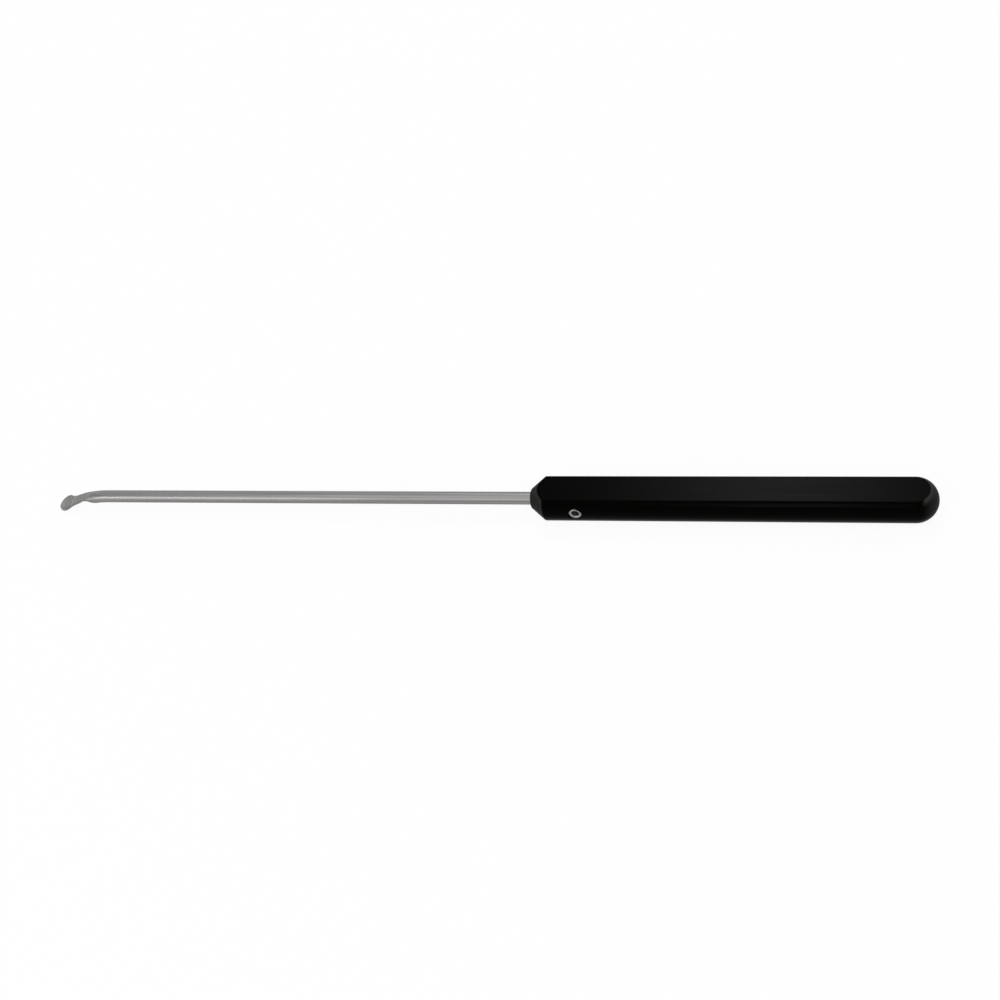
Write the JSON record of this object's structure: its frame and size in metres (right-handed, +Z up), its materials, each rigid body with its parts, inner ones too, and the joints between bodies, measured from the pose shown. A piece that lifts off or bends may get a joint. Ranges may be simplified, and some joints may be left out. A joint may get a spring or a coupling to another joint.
{
  "type": "arthroscopic elevator",
  "caption": "slim hand elevator for joint surgery: a steel rod with a bent, ground spatula blade, held in a round black bar handle with flats by a set screw",
  "frame": {"origin": "middle of the handle's lower flat, on which the instrument lies", "axes": "+X along the instrument from the blade to the domed end of the handle, +Z up and square to the flats, the set screw looks along -Y and 5 degrees up"},
  "size_m": [0.265, 0.0126, 0.0095],
  "materials": {
    "black_handle": "satin black anodised",
    "satin_steel": "satin, drawn along its length, ground at the blade",
    "screw_steel": "bright, turned"
  },
  "bodies": {
    "root": {"handle": "black_handle", "shaft": "satin_steel", "set_screw": "screw_steel"}
  },
  "joints": []
}
